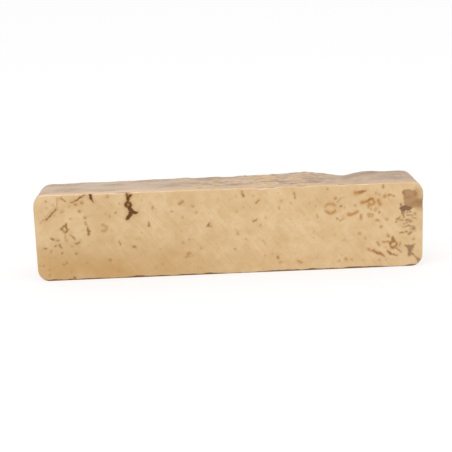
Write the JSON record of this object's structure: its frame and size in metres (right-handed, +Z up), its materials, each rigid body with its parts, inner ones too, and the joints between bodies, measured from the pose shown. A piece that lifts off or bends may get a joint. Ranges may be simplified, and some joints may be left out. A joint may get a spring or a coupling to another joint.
{
  "type": "metal ingot",
  "caption": "Long cast bar ingot of yellow copper alloy with rounded end corners, one long side ground flat and a dull, uneven cast top; stock for remelting or machining.",
  "frame": {"origin": "middle of the flat underside that the bar rests on", "axes": "+X along the bar to its right end, +Y from the ground face to the back, +Z up to the cast top"},
  "size_m": [0.3, 0.045, 0.0698],
  "materials": {
    "cast_alloy": "satin where ground, dull and oxidised where cast"
  },
  "bodies": {
    "root": {"ingot": "cast_alloy"}
  },
  "joints": []
}
